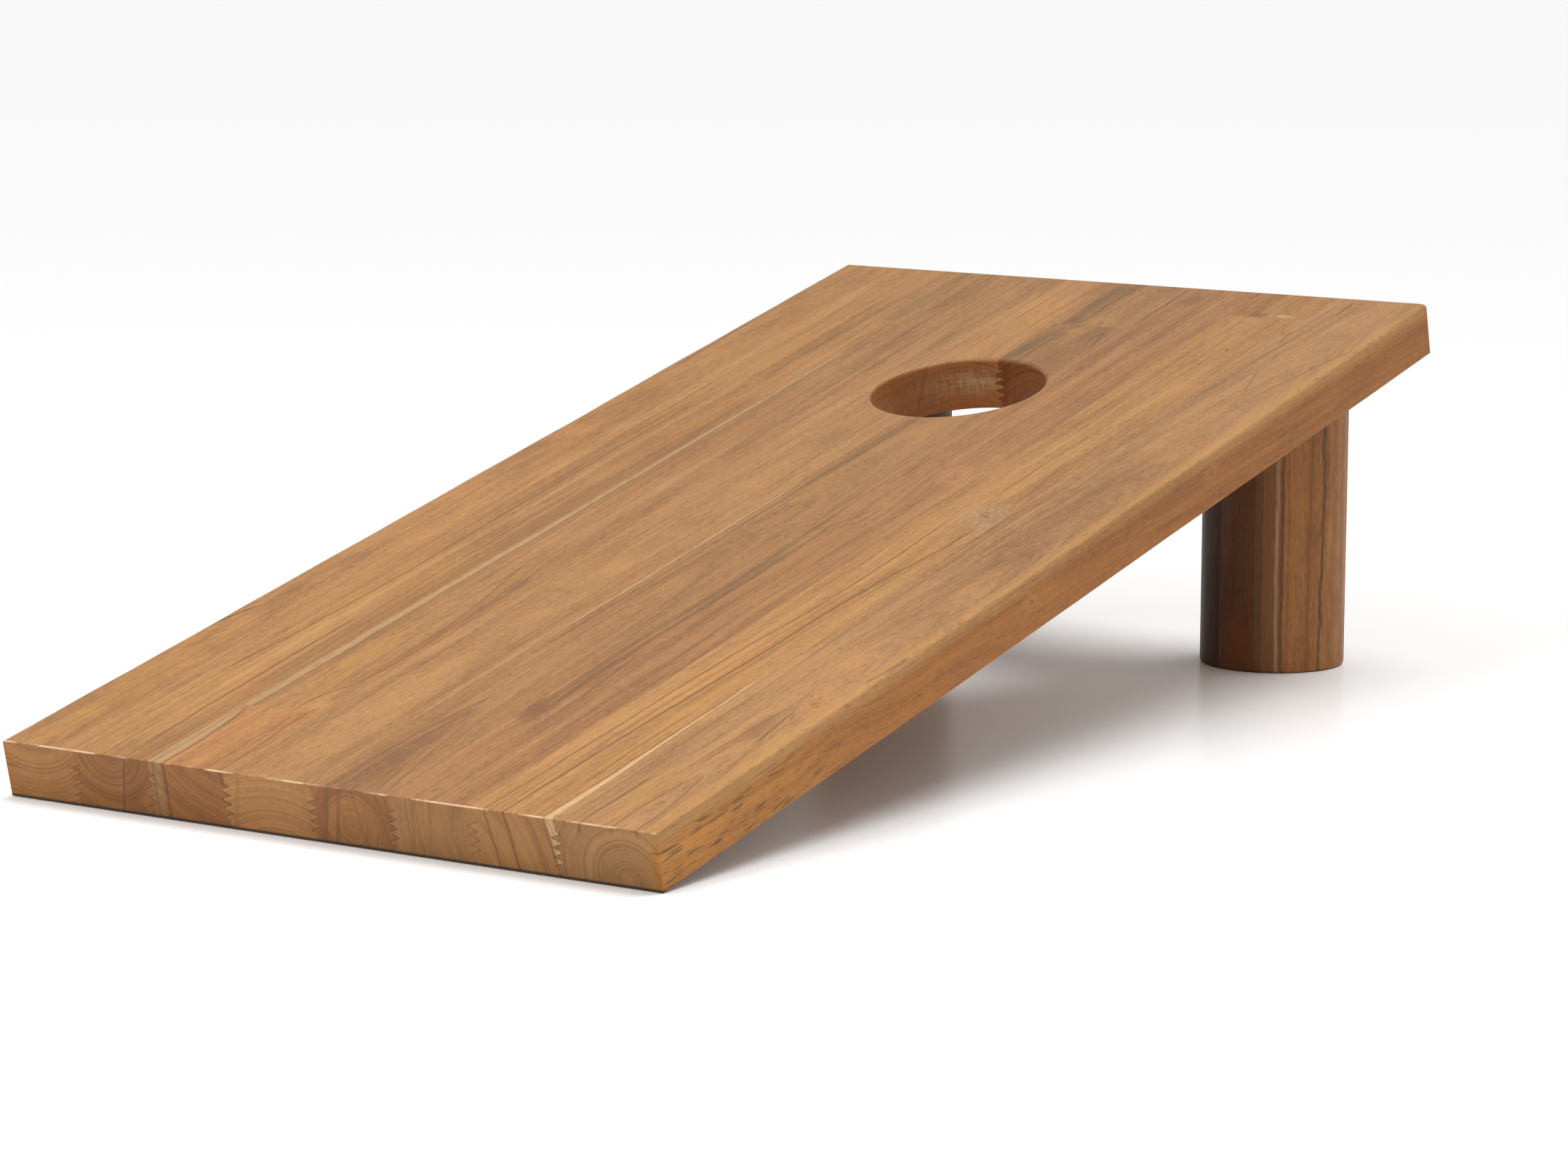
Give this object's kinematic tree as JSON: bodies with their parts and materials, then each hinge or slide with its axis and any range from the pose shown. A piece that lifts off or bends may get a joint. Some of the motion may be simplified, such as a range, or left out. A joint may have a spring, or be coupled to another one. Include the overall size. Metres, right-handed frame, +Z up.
{
  "type": "cornhole board",
  "caption": "Tilted teak slab of edge-glued staves with a round bag hole near its raised back end, standing on round laminated legs.",
  "frame": {"origin": "on the floor, in the middle of the board's outline seen from above", "axes": "+X across the board to the right, seen from its low front end; +Y from the low front end to the raised back end; +Z up"},
  "size_m": [0.6096, 1.1986, 0.317],
  "materials": {
    "teak_orange": "oiled teak, warm orange-brown, satin",
    "teak_tan": "oiled teak, tan, satin",
    "teak_brown": "oiled teak, brown, satin",
    "teak_golden": "oiled teak, golden, satin",
    "teak_dark": "oiled teak, very dark heartwood, satin",
    "beech": "plain unfinished beech",
    "steel": "stainless steel",
    "brass": "turned brass"
  },
  "bodies": {
    "root": {"deck_stave_1": "teak_orange", "deck_stave_2": "teak_orange", "deck_stave_3_front": "teak_orange", "deck_stave_3_rear": "teak_tan", "deck_stave_4": "teak_tan", "deck_stave_5_front": "teak_tan", "deck_stave_5_middle": "teak_tan", "deck_stave_5_rear": "teak_tan", "deck_stave_6": "teak_brown", "deck_stave_7_front": "teak_golden", "deck_stave_7_rear": "teak_golden", "deck_stave_8": "teak_brown", "left_leg_outer": "teak_orange", "left_leg_core": "teak_brown", "left_leg_inner": "teak_dark", "right_leg_outer": "teak_orange", "right_leg_core": "teak_brown", "right_leg_inner": "teak_dark", "left_leg_bolt": "steel", "left_leg_washer": "steel", "left_leg_insert": "brass", "left_leg_dowel_front": "beech", "left_leg_dowel_rear": "beech", "right_leg_bolt": "steel", "right_leg_washer": "steel", "right_leg_insert": "brass", "right_leg_dowel_front": "beech", "right_leg_dowel_rear": "beech"}
  },
  "joints": []
}
